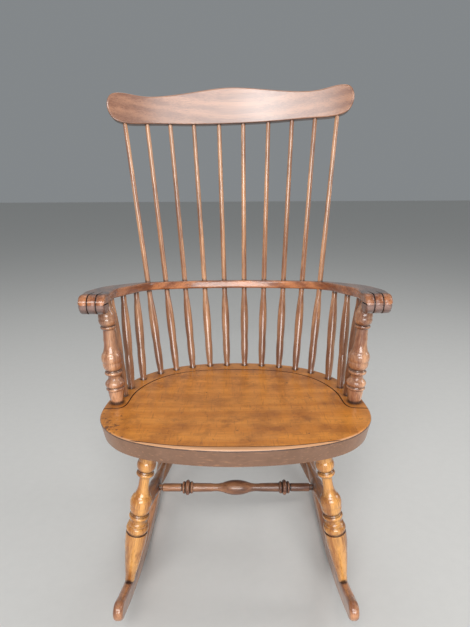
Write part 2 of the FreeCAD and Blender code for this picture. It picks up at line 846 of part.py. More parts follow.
def cutGroove(body, name, across, edge):
    # a narrow cut as wide as one knuckle line; edge is its outline seen from the side
    sketch = newSketch(body, name + "Side", "YZ_Plane", lift=across)
    start, front, turn, back, *others = [Vector(y, z, 0) for y, z in edge]
    sketch.addGeometry(Part.LineSegment(start, front), False)
    sketch.addGeometry(Part.Arc(front, turn, back), False)
    corners = [back] + others + [start]
    for near, far in zip(corners, corners[1:]):
        sketch.addGeometry(Part.LineSegment(near, far), False)
    before = body.Tip.Shape.Volume
    groove = body.newObject("PartDesign::Pocket", name)
    groove.Profile = sketch
    groove.Midplane = True
    groove.setExpression("Length", "Dims.grooveWide")
    body.Tip = groove
    doc.recompute()
    if groove.Shape.Volume > before - 20:
        raise RuntimeError(name + " cut nothing")


# the two lines over a roll, as shares of its width from its middle
knuckleLines = (-1 / 6, 1 / 6)
# clear air beyond the wood, for outlines that cut it
beyond = 10
# how far the knuckle lines run back over the arm
lineBack = 62


def buildArmBow():
    body = doc.addObject("PartDesign::Body", "ArmBowBody")
    sketch = newSketch(body, "ArmBowPlan", "XY_Plane")
    inner, outer = bowEdges()
    outside = bothSides(outer)
    inside = bothSides(inner)
    inside.reverse()
    sketch.addGeometry(splineThrough(outside), False)
    sketch.addGeometry(Part.LineSegment(Vector(*outside[-1], 0), Vector(*inside[0], 0)), False)
    sketch.addGeometry(splineThrough(inside), False)
    sketch.addGeometry(Part.LineSegment(Vector(*inside[-1], 0), Vector(*outside[0], 0)), False)
    pad = body.newObject("PartDesign::Pad", "ArmBowRail")
    pad.Profile = sketch
    pad.setExpression("Length", "Dims.bowThick")
    body.Tip = pad
    doc.recompute()
    front = min(y for x, y in inner)
    edges = []
    for i, edge in enumerate(pad.Shape.Edges, start=1):
        box = edge.BoundBox
        level = abs(box.ZMax - box.ZMin) < 1e-3
        if level and box.YMax > front + 50:
            edges.append(f"Edge{i}")
    rounded = body.newObject("PartDesign::Fillet", "ArmBowEdges")
    rounded.Base = (pad, edges)
    rounded.setExpression("Radius", "Dims.bowRound")
    body.Tip = rounded
    doc.recompute()
    # the front ends are rounded over to carry on the roll of the hand-holds
    centre = Vector(bowLocal(rollPlace(1).Base).y, 0, 0)
    radius = size("rollRadius")
    tall = size("bowThick") + 10
    trim = newSketch(body, "ArmBowRoll", "YZ_Plane")
    nose = centre + Vector(-radius, 0, 0)
    crown = centre + Vector(0, radius, 0)
    turn = centre + Vector(-radius * math.sqrt(0.5), radius * math.sqrt(0.5), 0)
    corners = [
        crown,
        Vector(crown.x, tall, 0),
        Vector(nose.x - 40, tall, 0),
        Vector(nose.x - 40, -5, 0),
        Vector(nose.x, -5, 0),
        nose,
    ]
    for start, end in zip(corners, corners[1:]):
        trim.addGeometry(Part.LineSegment(start, end), False)
    trim.addGeometry(Part.Arc(nose, turn, crown), False)
    before = rounded.Shape.Volume
    cutRoll = body.newObject("PartDesign::Pocket", "ArmBowRollCut")
    cutRoll.Profile = trim
    cutRoll.Type = "ThroughAll"
    cutRoll.Midplane = True
    body.Tip = cutRoll
    doc.recompute()
    if cutRoll.Shape.Volume > before - 1000:
        raise RuntimeError("the arm's ends were not rounded")
    # the knuckle lines come up the front of the roll and fade out on the arm's top
    inner = radius - size("grooveDeep")
    slant = inner * math.sqrt(0.5)
    top = size("bowThick")
    side = [
        (centre.x - inner, -beyond),
        (centre.x - inner, 0),
        (centre.x - slant, slant),
        (centre.x, inner),
        (centre.x + lineBack, top + 1),
        (centre.x + lineBack, top + beyond),
        (centre.x - radius - beyond, top + beyond),
        (centre.x - radius - beyond, -beyond),
    ]
    for i, end in enumerate((-1, 1)):
        for j, share in enumerate(knuckleLines):
            across = end * rollX() + share * size("rollWide")
            cutGroove(body, f"ArmBowLine{i}{j}", across, side)
    tools = []
    for side in (-1, 1):
        letter = "L" if side < 0 else "R"
        for row in range(len(longSpindles)):
            base, end = longLine(row, side)
            mouth = throughBow(base, end, -6)
            tools.append(hole(f"BowLong{letter}{row}", bowPlace, mouth, end - base,
                              "spindleNeck", size("bowThick") + 14, proud=0))
        for row in range(len(shortSpindles)):
            base, end = shortLine(row, side)
            tools.append(hole(f"BowShort{letter}{row}", bowPlace, end, end - base,
                              "spindleNeck", size("armSpindleDeep")))
        base, end = postLine(side)
        tools.append(hole(f"BowPost{letter}", bowPlace, end, end - base,
                          "postTop", size("postTopDeep")))
    cutter = doc.addObject("Part::MultiFuse", "ArmBowCutters")
    cutter.Shapes = tools
    finish("arm_bow", body, bowPlace, [cutter])


def buildHandHold(side, label):
    body = doc.addObject("PartDesign::Body", label + "Body")
    sketch = newSketch(body, label + "Side", "YZ_Plane")
    radius = size("rollRadius")
    front = Vector(-radius, 0, 0)
    back = Vector(radius, 0, 0)
    sketch.addGeometry(Part.Arc(front, Vector(0, -radius, 0), back), False)
    sketch.addGeometry(Part.LineSegment(back, front), False)
    pad = body.newObject("PartDesign::Pad", label + "Roll")
    pad.Profile = sketch
    pad.setExpression("Length", "Dims.rollWide")
    pad.Midplane = True
    body.Tip = pad
    doc.recompute()
    half = size("rollWide") / 2
    curved = []
    for i, edge in enumerate(pad.Shape.Edges, start=1):
        box = edge.BoundBox
        if box.ZMin < -radius * 0.9 and abs(abs(box.XMin) - half) < 1e-3 and \
                abs(box.XMax - box.XMin) < 1e-3:
            curved.append(f"Edge{i}")
    rounded = body.newObject("PartDesign::Fillet", label + "Ends")
    rounded.Base = (pad, curved)
    rounded.setExpression("Radius", "Dims.bowRound")
    body.Tip = rounded
    doc.recompute()
    inner = radius - size("grooveDeep")
    around = [
        (-inner, beyond),
        (-inner, 0),
        (0, -inner),
        (inner, 0),
        (inner, beyond),
        (radius + beyond, beyond),
        (radius + beyond, -radius - beyond),
        (-radius - beyond, -radius - beyond),
        (-radius - beyond, beyond),
    ]
    for i, share in enumerate(knuckleLines):
        cutGroove(body, f"{label}Line{i}", share * size("rollWide"), around)
    finish(label, body, rollPlace(side))


# ---- comb --------------------------------------------------------------------------

# right half of the comb's face as shares of its half width and its height
combHalf = [
    (0.000, 1.000), (0.257, 0.915), (0.530, 0.763), (0.755, 0.710), (0.905, 0.745),
    (0.966, 0.680), (1.000, 0.430), (0.986, 0.185), (0.950, 0.020), (0.895, -0.048),
    (0.700, -0.040), (0.400, -0.012), (0.000, 0.000),
]


def buildComb():
    body = doc.addObject("PartDesign::Body", "CombBody")
    radius = size("combRadius")
    half = size("combThick") / 2
    reach = size("combWidth") / 2 + 20
    plan = newSketch(body, "CombPlan", "XY_Plane", lift=-20)

    def bend(x, far):
        return Vector(x, math.sqrt(far**2 - x**2) - radius, 0)

    frontArc = [bend(-reach, radius - half), bend(0, radius - half), bend(reach, radius - half)]
    backArc = [bend(reach, radius + half), bend(0, radius + half), bend(-reach, radius + half)]
    plan.addGeometry(Part.Arc(*frontArc), False)
    plan.addGeometry(Part.LineSegment(frontArc[2], backArc[0]), False)
    plan.addGeometry(Part.Arc(*backArc), False)
    plan.addGeometry(Part.LineSegment(backArc[2], frontArc[0]), False)
    pad = body.newObject("PartDesign::Pad", "CombBlank")
    pad.Profile = plan
    pad.setExpression("Length", "Dims.combTall + 40")
    body.Tip = pad
    doc.recompute()
    wide = size("combWidth") / 2
    tall = size("combTall")
    right = [(x * wide, y * tall) for x, y in combHalf]
    left = [(-x, y) for x, y in right[-2:0:-1]]
    # the face is cut out from in front, through the whole bend
    face = newSketch(body, "CombFace", "XZ_Plane", lift=200)
    face.addGeometry(splineThrough(right + left, closed=True), False)
    low, high, out = -60, tall + 60, wide + 60
    frame = [Vector(-out, low, 0), Vector(out, low, 0), Vector(out, high, 0),
             Vector(-out, high, 0)]
    for i in range(4):
        face.addGeometry(Part.LineSegment(frame[i], frame[(i + 1) % 4]), False)
    before = pad.Shape.Volume
    trim = body.newObject("PartDesign::Pocket", "CombOutline")
    trim.Profile = face
    trim.Type = "ThroughAll"
    body.Tip = trim
    doc.recompute()
    if trim.Shape.Volume > before * 0.95:
        raise RuntimeError("the comb's outline was not cut")
    around = []
    for i, edge in enumerate(trim.Shape.Edges, start=1):
        box = edge.BoundBox
        if box.XMax - box.XMin > 60:
            around.append(f"Edge{i}")
    rounded = body.newObject("PartDesign::Fillet", "CombEdges")
    rounded.Base = (trim, around)
    rounded.setExpression("Radius", "Dims.combRound")
    body.Tip = rounded
    doc.recompute()
    tools = []
    for side in (-1, 1):
        letter = "L" if side < 0 else "R"
        for row in range(len(longSpindles)):
            base, end = longLine(row, side)
            deep = size("spindleTopDeep") - 12
            tools.append(hole(f"Comb{letter}{row}", combPlace, end, end - base,
                              "spindleTop", deep, proud=60))
    finish("crest_rail", body, combPlace, tools)


buildSeat()
for side, word in ((-1, "left"), (1, "right")):
    buildRocker(side, f"rocker_{word}")
    buildLeg(True, side, f"front_leg_{word}")
    buildLeg(False, side, f"rear_leg_{word}")
    buildSideStretcher(side, f"side_stretcher_{word}")
    buildPost(side, f"arm_post_{word}")
    buildHandHold(side, f"hand_hold_{word}")
    for row in range(len(shortSpindles)):
        buildShortSpindle(row, side, f"arm_spindle_{word}_{row + 1}")
buildCentreStretcher()
for row in range(len(longSpindles)):
    buildLongSpindle(row, -1, f"back_spindle_{row + 1:02d}")
    buildLongSpindle(row, 1, f"back_spindle_{10 - row:02d}")
buildArmBow()
buildComb()

doc.recompute()
for item in doc.Objects:
    if "Invalid" in item.State or "Error" in item.State:
        raise RuntimeError(f"{item.Label} failed: {item.State}")
for label, item in sorted(nodes.items()):
    shape = item.Shape
    if shape.isNull() or not shape.isValid() or len(shape.Solids) != 1:
        raise RuntimeError(f"{label} is not one valid solid")

os.makedirs("parts", exist_ok=True)
for label, item in sorted(nodes.items()):
    item.Shape.exportStep(f"parts/{label}.step")

total = 0
moment = Vector()
for label, item in sorted(nodes.items()):
    solid = item.Shape.Solids[0]
    total += solid.Volume
    moment += solid.CenterOfMass * solid.Volume
middle = moment / total
print(f"{len(nodes)} pieces, {total / 1e6:.2f} litres of wood")
print(f"centre of mass at {middle.x:.1f}, {middle.y:.1f}, {middle.z:.1f} mm")
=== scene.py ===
import math

import bpy
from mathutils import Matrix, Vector


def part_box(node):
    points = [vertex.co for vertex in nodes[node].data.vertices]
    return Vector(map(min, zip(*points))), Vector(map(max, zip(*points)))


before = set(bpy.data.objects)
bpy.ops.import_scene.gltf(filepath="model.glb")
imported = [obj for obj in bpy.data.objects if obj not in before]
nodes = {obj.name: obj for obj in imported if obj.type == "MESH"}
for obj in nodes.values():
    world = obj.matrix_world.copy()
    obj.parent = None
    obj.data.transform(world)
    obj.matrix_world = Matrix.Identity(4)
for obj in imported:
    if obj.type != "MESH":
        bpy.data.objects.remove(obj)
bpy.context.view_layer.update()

print("frame loaded:", len(nodes), "wooden pieces")

lacquerIor = 1.5  # the clear lacquer over every wood


# expressions that become shader nodes
class Field:
    # a socket that adds a Math node each time it is used in an expression
    def __init__(self, stain, socket):
        self.stain = stain
        self.socket = socket

    def worked(self, operation, first, second=None):
        values = {0: first}
        if second is not None:
            values[1] = second
        return self.stain.node("Math", {"operation": operation}, values)

    def __add__(self, other):
        return self.worked("ADD", self, other)

    __radd__ = __add__

    def __sub__(self, other):
        return self.worked("SUBTRACT", self, other)

    def __rsub__(self, other):
        return self.worked("SUBTRACT", other, self)

    def __mul__(self, other):
        return self.worked("MULTIPLY", self, other)

    __rmul__ = __mul__

    def __truediv__(self, other):
        return self.worked("DIVIDE", self, other)

    def __rtruediv__(self, other):
        return self.worked("DIVIDE", other, self)

    def __pow__(self, other):
        return self.worked("POWER", self, other)

    def __rpow__(self, other):
        return self.worked("POWER", other, self)

    def __abs__(self):
        return self.worked("ABSOLUTE", self)


class Stain:
    # one material and the short ways to add nodes to it
    def __init__(self, name):
        self.material = bpy.data.materials.new(name)
        self.material.use_nodes = True
        self.tree = self.material.node_tree
        self.tree.nodes.clear()

    def node(self, kind, settings=None, values=None, output=0):
        made = self.tree.nodes.new("ShaderNode" + kind)
        for word, setting in (settings or {}).items():
            setattr(made, word, setting)
        for word, value in (values or {}).items():
            if isinstance(value, Field):
                self.tree.links.new(value.socket, made.inputs[word])
            else:
                made.inputs[word].default_value = value
        return Field(self, made.outputs[output]) if made.outputs else None

    def blend(self, share, under, over):
        # a share of the second colour laid over the first
        settings = {"data_type": "RGBA", "clamp_factor": True}
        under = under if isinstance(under, Field) else (*under, 1)
        over = over if isinstance(over, Field) else (*over, 1)
        return self.node("Mix", settings, {0: share, 6: under, 7: over}, 2)

    def vector(self, operation, first, second):
        if operation == "SCALE":
            return self.node("VectorMath", {"operation": operation}, {0: first, "Scale": second})
        return self.node("VectorMath", {"operation": operation}, {0: first, 1: second})

    def along(self, vector, direction):
        # how far a place lies along a direction
        return self.node("VectorMath", {"operation": "DOT_PRODUCT"}, {0: vector, 1: direction}, 1)

    def step(self, value, low, high):
        # 0 below low, 1 above high, smooth between them
        settings = {"interpolation_type": "SMOOTHSTEP"}
        return self.node("MapRange", settings, {"Value": value, "From Min": low, "From Max": high})

    def noise(self, where, scale, detail=2.0, rough=0.5, output=0):
        values = {"Vector": where, "Scale": scale, "Detail": detail, "Roughness": rough}
        return self.node("TexNoise", {}, values, output)

    def parts(self, vector):
        return [self.node("SeparateXYZ", {}, {0: vector}, i) for i in range(3)]

    def join(self, across, side, length):
        return self.node("CombineXYZ", {}, {0: across, 1: side, 2: length})

    def stretched(self, where, times):
        # the same place with each axis drawn out or squeezed
        return self.vector("MULTIPLY", where, times)

    def finish(self, colour, roughness, normal, gloss):
        shader = self.node("BsdfPrincipled", {}, {
            "Base Color": colour,
            "Roughness": roughness,
            "Normal": normal,
            "IOR": lacquerIor,
            "Coat Weight": gloss["coat"],
            "Coat Roughness": gloss["coatRough"],
        })
        self.node("OutputMaterial", {}, {"Surface": shader})
        return self.material


# colours, given as the eye sees them on a screen
def seen(red, green, blue):
    def straight(part):
        part /= 255
        return part / 12.92 if part <= 0.04045 else ((part + 0.055) / 1.055) ** 2.4
    return (straight(red), straight(green), straight(blue))


# light and dark are the early and late wood, the patch colour is where the stain took deeper and on the
# spindles is also their painted shade towards the seat, the hollow colour is old stain left in the grooves
# and is also painted shade in recesses, where pieces meet and on undersides, patchy and the hollow depth
# say how strongly
woods = {
    "spindle": {
        "light": seen(228, 172, 128), "dark": seen(146, 94, 62), "patchAndShade": seen(96, 56, 36),
        # shade is how strongly painted shadow darkens the spindles towards the seat
        "shade": 0.45, "hollow": seen(38, 16, 12), "rough": 0.26, "patchy": 0.62, "hollowDeep": 0.9,
        "reach": 0.01, "coat": 1.0, "coatRough": 0.12,
    },
    "post": {
        "light": seen(230, 174, 132), "dark": seen(152, 98, 70), "patchAndShade": seen(98, 56, 40),
        "hollow": seen(34, 14, 14), "rough": 0.26, "patchy": 0.65, "hollowDeep": 0.85,
        "reach": 0.01, "shutFull": 0.30, "coat": 1.0, "coatRough": 0.12,
    },
    "leg": {
        "light": seen(238, 172, 94), "dark": seen(170, 104, 46), "patchAndShade": seen(108, 60, 30),
        "hollow": seen(34, 10, 18), "rough": 0.26, "patchy": 0.65, "hollowDeep": 0.9,
        "reach": 0.01, "shutFull": 0.30, "coat": 0.9, "coatRough": 0.12,
    },
    # the leg wood darkened and made duller: a painted shade for the rear legs under the seat
    "rearLeg": {
        "light": seen(172, 112, 62), "dark": seen(128, 78, 42), "patchAndShade": seen(84, 50, 30),
        "hollow": seen(28, 14, 14), "rough": 0.35, "patchy": 0.5, "hollowDeep": 1.0,
        "reach": 0.01, "coat": 0.5, "coatRough": 0.2,
    },
    "stretcher": {
        "light": seen(212, 150, 106), "dark": seen(136, 80, 54), "patchAndShade": seen(64, 32, 26),
        "hollow": seen(22, 10, 10), "rough": 0.3, "patchy": 0.8, "hollowDeep": 0.9,
        "reach": 0.01, "shutFull": 0.30, "coat": 0.6, "coatRough": 0.15,
    },
    "rocker": {
        "light": seen(224, 158, 112), "dark": seen(150, 92, 62), "patchAndShade": seen(92, 50, 34),
        "hollow": seen(38, 18, 16), "rough": 0.3, "patchy": 0.7, "hollowDeep": 0.85,
        "reach": 0.01, "coat": 0.9, "coatRough": 0.15,
    },
    "arm": {
        "light": seen(208, 136, 88), "dark": seen(138, 80, 50), "patchAndShade": seen(78, 42, 30),
        "hollow": seen(32, 14, 12), "rough": 0.26, "patchy": 0.75, "hollowDeep": 0.95,
        "reach": 0.016, "coat": 1.0, "coatRough": 0.14,
    },
    "knuckle": {
        "light": seen(146, 112, 100), "dark": seen(90, 64, 60), "patchAndShade": seen(54, 34, 34),
        "hollow": seen(24, 12, 14), "rough": 0.3, "patchy": 0.8, "hollowDeep": 0.85,
        "reach": 0.012, "coat": 1.0, "coatRough": 0.14,
    },
    "comb": {
        "light": seen(178, 126, 95), "dark": seen(134, 88, 65), "patchAndShade": seen(114, 78, 62),
        "hollow": seen(34, 16, 12), "rough": 0.34, "patchy": 0.38, "hollowDeep": 0.95,
        "reach": 0.01, "coat": 1.0, "coatRough": 0.17, "patchLong": 0.12,
        # the comb's top edge gets a painted highlight colour, and its undersides a stronger painted shade
        "crown": seen(186, 118, 68), "underShade": 0.8,
    },
    "seat": {
        "light": seen(234, 152, 62), "dark": seen(212, 130, 44), "patchAndShade": seen(126, 66, 26),
        "hollow": seen(36, 18, 10), "rough": 0.34, "patchy": 0.46, "hollowDeep": 0.8,
        "reach": 0.012, "coat": 0.5, "coatRough": 0.2, "patchLong": 1.0,
    },
}

grain = {
    "fibres": 620.0,  # fine fibres across a metre
    "fibreLong": 0.03,  # how much they are drawn out along the grain
    "coarse": 0.22,  # wider bands, as a share of the fibres' count
    "rings": 34.0,  # growth rings across a metre
    "ringLong": 0.12,
    "ringLean": (0.8, 0.6),
    "ringTurn": 6.28,  # radians from one ring to the next
    "ringShare": 0.16,
    "ringBend": 1.6,
    "swirls": 9.0,
    "swirlLong": 0.2,
    "drifts": 5.0,  # slow wander of the grain, and how far it goes in metres
    "driftFar": 0.02,
    "patches": 13.0,
    "patchLong": 0.45,
    "patchFrom": 0.40,
    "patchFull": 0.70,
    "fineShare": 0.55,  # of fibres and of coarse bands, less what the rings take
    "coarseShare": 0.45,
    "lateWood": 0.34,
    "earlyWood": 0.66,
    "poreFrom": 0.40,
    "poreFull": 0.28,
    "poreDeep": 0.35,
    "fibreTall": 0.5,  # how much each lifts the surface
    "coarseTall": 0.3,
    "patchSunk": 0.1,
    "sawnFrom": (0.31, 0.27, -0.91),  # no piece lies along this direction
}


def lineUp(stain, lie):
    # the place on the piece turned so that the grain runs along Z
    here = stain.node("TexCoord", output=3)
    side = Vector(grain["sawnFrom"]).cross(Vector(lie)).normalized()
    other = Vector(lie).cross(side)
    return here, stain.join(stain.along(here, side), stain.along(here, other), stain.along(here, lie))


def wander(stain, lying):
    # real grain is never quite straight
    drift = stain.noise(lying, grain["drifts"], detail=2.0, output=1)
    drift = stain.vector("SUBTRACT", drift, (0.5, 0.5, 0.5))
    return stain.vector("ADD", lying, stain.vector("SCALE", drift, grain["driftFar"]))


def growthRings(stain, bent):
    across, side = stain.parts(stain.stretched(bent, (1, 1, grain["ringLong"])))[:2]
    swirl = stain.noise(stain.stretched(bent, (1, 1, grain["swirlLong"])), grain["swirls"], detail=2.0)
    lean = grain["ringLean"]
    turn = (across * lean[0] + side * lean[1]) * grain["rings"] + swirl * grain["ringBend"]
    return stain.node("Math", {"operation": "SINE"}, {0: turn * grain["ringTurn"]}) * 0.5 + 0.5


def woodTones(stain, look, lying):
    # fibres, growth rings and cloudy stain, as one colour and one height
    bent = wander(stain, lying)
    drawn = stain.stretched(bent, (1, 1, grain["fibreLong"]))
    fibre = stain.noise(drawn, grain["fibres"], detail=3.0, rough=0.6)
    coarse = stain.noise(drawn, grain["fibres"] * grain["coarse"], detail=2.0, rough=0.55)
    ring = growthRings(stain, bent)
    clouded = stain.stretched(bent, (1, 1, look.get("patchLong", grain["patchLong"])))
    cloud = stain.noise(clouded, grain["patches"], detail=4.0, rough=0.62)
    cloud = stain.step(cloud, grain["patchFrom"], grain["patchFull"])
    rings = grain["ringShare"]
    mixed = fibre * (grain["fineShare"] - rings / 2) + coarse * (grain["coarseShare"] - rings / 2)
    mixed = mixed + ring * rings
    tone = stain.step(mixed, grain["lateWood"], grain["earlyWood"])
    colour = stain.blend(tone, look["dark"], look["light"])
    colour = stain.blend(cloud * look["patchy"], colour, look["patchAndShade"])
    pore = stain.step(fibre, grain["poreFrom"], grain["poreFull"])
    colour = stain.blend(pore * grain["poreDeep"], colour, look["hollow"])
    height = fibre * grain["fibreTall"] + coarse * grain["coarseTall"] - cloud * grain["patchSunk"]
    return colour, height, cloud


# stain, wear and painted light and shade laid over each wood
stainAndShading = {
    "samples": 8,  # rays that feel how shut in a place is
    "crownFaces": (0.45, 0.8),  # how far up a face looks for the painted highlight on the comb's top edge, from none to full
    "crownDeep": 0.8,
    "shadowHigh": 0.62,  # painted shadow darkens the spindles below this height, in metres
    "shadowLow": 0.42,
    # faces that turn downwards get painted shade
    "underFaces": (-0.15, -0.85),
    "underShade": 0.5,
    "shutFrom": 0.05,
    "shutFull": 0.42,
    "patchDull": 0.08,
    "shutDull": 0.25,
    "bump": {"Strength": 0.10, "Distance": 0.0006},
}


def hollows(stain, reach):
    # how shut in a place is: 0 in the open, 1 deep in a groove or against a neighbour; it lays old stain
    # in the grooves and painted shade in recesses and where pieces meet
    settings = {"samples": stainAndShading["samples"]}
    return 1 - stain.node("AmbientOcclusion", settings, {"Distance": reach}, 1)


def facingUp(stain):
    # 1 on a level top, 0 on a wall, -1 on an underside
    return stain.parts(stain.node("NewGeometry", output=1))[2]


knuckles = {
    "lobes": 3,
    "lobeTall": 0.0035,
    "lobeBack": 0.075,  # metres behind the roll's front, where the swelling has run out
    "lobeFade": 0.02,  # and where it starts to
    "lobeFull": 0.6,  # under 1 makes the lobes fuller than a sine
    "endFade": 0.002,
}


def lobes(stain, here, side):
    # the roll swells between its grooves, and the swelling runs out behind it
    low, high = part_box("hand_hold_" + side)
    x, y = stain.parts(here)[:2]
    share = (x - low[0]) * (knuckles["lobes"] / (high[0] - low[0]))
    wave = stain.node("Math", {"operation": "SINE"}, {0: share * math.pi})
    swell = abs(wave) ** knuckles["lobeFull"]
    fade = knuckles["endFade"]
    on = stain.step(x, low[0] - fade, low[0]) * stain.step(x, high[0] + fade, high[0])
    return swell * on * stain.step(y, low[1] + knuckles["lobeBack"], low[1] + knuckles["lobeFade"])


def stainShadeAndLacquer(stain, look, tones, swell=None):
    # dark stain and painted shade in the hollows and where pieces meet, painted shade on the undersides, a
    # painted highlight on the comb's top edge, painted shadow on the spindles towards the seat, and the
    # lacquer over it all
    colour, height, cloud = tones
    upward = facingUp(stain)
    if "crown" in look:
        # painted highlight: faces turned up, the comb's top edge, are laid lighter as if catching the
        # light
        crown = stain.step(upward, *stainAndShading["crownFaces"]) * stainAndShading["crownDeep"]
        colour = stain.blend(crown, colour, look["crown"])
    if "shade" in look:
        # painted shadow: the spindles darken towards the seat
        tall = stain.parts(stain.node("TexCoord", output=3))[2]
        seatShadow = stain.step(tall, stainAndShading["shadowHigh"], stainAndShading["shadowLow"])
        colour = stain.blend(seatShadow * look["shade"], colour, look["patchAndShade"])
    # painted shade: faces that turn downwards are darkened
    underShade = stain.step(upward, *stainAndShading["underFaces"])
    colour = stain.blend(underShade * look.get("underShade", stainAndShading["underShade"]), colour, look["hollow"])
    full = look.get("shutFull", stainAndShading["shutFull"])
    # partly old stain left in the grooves, partly painted shade darkening recesses and the places where
    # pieces meet
    shut = stain.step(hollows(stain, look["reach"]), stainAndShading["shutFrom"], full)
    colour = stain.blend(shut * look["hollowDeep"], colour, look["hollow"])
    rough = look["rough"] + cloud * stainAndShading["patchDull"] + shut * stainAndShading["shutDull"]
    bump = stain.node("Bump", {}, {**stainAndShading["bump"], "Height": height})
    if swell is not None:
        rounded = {"Strength": 1.0, "Distance": knuckles["lobeTall"], "Height": swell, "Normal": bump}
        bump = stain.node("Bump", {}, rounded)
    return stain.finish(colour, rough, bump, look)


def turnedStain(name, look, lie, side=None):
    stain = Stain(name)
    here, lying = lineUp(stain, lie)
    swell = lobes(stain, here, side) if side else None
    return stainShadeAndLacquer(stain, look, woodTones(stain, look, lying), swell)


bendReach = 0.25  # metres from the centre of the bend to the rail, near enough


def bentStain(name, look):
    # the bent rail's grain follows the bend: distance from its centre, height, way round
    stain = Stain(name)
    here = stain.node("TexCoord", output=3)
    x, y, z = stain.parts(here)
    out = (x * x + y * y) ** 0.5
    way = stain.node("Math", {"operation": "ARCTAN2"}, {0: x, 1: y}) * bendReach
    lying = stain.join(out, z, way)
    swell = lobes(stain, here, "left") + lobes(stain, here, "right")
    return stainShadeAndLacquer(stain, look, woodTones(stain, look, lying), swell)


# the seat: its top, its light rounded lip and its rubbed front face
seatTop = {
    "rays": 300.0,  # fine rays from front to back, across a metre
    "rayLong": 0.06,
    "rayFaces": (0.55, 0.75),
    "rayDeep": 0.35,
    "mottles": 22.0,  # cloudy patches across the plank
    "mottleLong": 0.8,
    "mottleDark": (0.52, 0.66),
    "mottleDeep": 0.36,
    "mottlePale": (0.46, 0.28),
    "palePart": 0.35,
    "pale": seen(226, 152, 78),
    "scuffs": 95.0,
    "scuffFrom": 0.62,
    "scuffFull": 0.72,
    "scuffDeep": 0.8,
    "scuff": seen(76, 42, 28),
    "cornerAcross": (0.62, 0.95),  # the front corners, as shares of half the width
    "cornerBack": (0.42, 0.12),  # and of the depth
    "cornerWorn": 0.16,
    "wornSide": (0.05, -0.05),  # the -X corner is the more worn one
    "wornLess": 0.3,
}

seatEdge = {
    "lip": seen(206, 152, 108),
    "lipCurve": (0.0262, 0.0671, 0.1069, 0.075),  # where the lip ends: shares of x^0, x^2, x^4 and x^8
    "lipFade": (-0.001, 0.003),
    "face": seen(78, 58, 52),
    "facePatch": seen(38, 26, 28),
    "faceTurn": (0.5, 0.25),
    "rubs": 55.0,
    "rubLong": (0.5, 1, 0.6),
    "rubRange": (0.44, 0.60),
    "rubDeep": 0.8,
    "scratches": 340.0,
    "scratchLong": 0.12,
    "scratchRange": (0.56, 0.72),
    "scratchDeep": 0.6,
    "arris": seen(180, 130, 94),
    "arrisTurn": (-0.12, -0.2),
    "arrisEnd": (-0.9, -0.8),
    "arrisDeep": 0.8,
    # dark for the gutter line and for painted shade where pieces meet the seat
    "lineAndShade": seen(58, 30, 20),
    "lineRange": (0.10, 0.5),
    "patchDull": 0.10,
    "faceDull": 0.15,
    "lineDull": 0.2,
    "bump": {"Strength": 0.12, "Distance": 0.0006},
    "rayTall": 0.3,
}


def plankTop(stain, here, colour, x, across, back):
    # rays and cloudy patches over the plank, and dark scuffs towards its front corners
    look = woods["seat"]
    drawn = stain.stretched(here, (1, seatTop["rayLong"], 1))
    rays = stain.noise(drawn, seatTop["rays"], detail=2.0, rough=0.6)
    ray = stain.step(rays, *seatTop["rayFaces"]) * seatTop["rayDeep"]
    colour = stain.blend(ray, colour, look["patchAndShade"])
    drawn = stain.stretched(here, (1, seatTop["mottleLong"], 1))
    mottle = stain.noise(drawn, seatTop["mottles"], detail=6.0, rough=0.7)
    dark = stain.step(mottle, *seatTop["mottleDark"]) * seatTop["mottleDeep"]
    colour = stain.blend(dark, colour, look["patchAndShade"])
    pale = stain.step(mottle, *seatTop["mottlePale"]) * seatTop["palePart"]
    colour = stain.blend(pale, colour, seatTop["pale"])
    worn = stain.noise(here, seatTop["scuffs"], detail=5.0, rough=0.72)
    corner = stain.step(across, *seatTop["cornerAcross"]) * stain.step(back, *seatTop["cornerBack"])
    less = seatTop["wornLess"]
    corner = corner * (stain.step(x, *seatTop["wornSide"]) * (1 - less) + less)
    scuffed = stain.step(worn + corner * seatTop["cornerWorn"], seatTop["scuffFrom"], seatTop["scuffFull"])
    colour = stain.blend(scuffed * seatTop["scuffDeep"], colour, seatTop["scuff"])
    return colour, rays


def frontFace(stain, here):
    # rubbed nearly black, with pale scratches along it
    drawn = stain.stretched(here, seatEdge["rubLong"])
    rubbed = stain.noise(drawn, seatEdge["rubs"], detail=5.0, rough=0.7)
    rubbed = stain.step(rubbed, *seatEdge["rubRange"]) * seatEdge["rubDeep"]
    colour = stain.blend(rubbed, seatEdge["face"], seatEdge["facePatch"])
    drawn = stain.stretched(here, (seatEdge["scratchLong"], 1, 1))
    scratches = stain.noise(drawn, seatEdge["scratches"], detail=3.0, rough=0.6)
    scratches = stain.step(scratches, *seatEdge["scratchRange"]) * seatEdge["scratchDeep"]
    return stain.blend(scratches, colour, seatEdge["arris"])


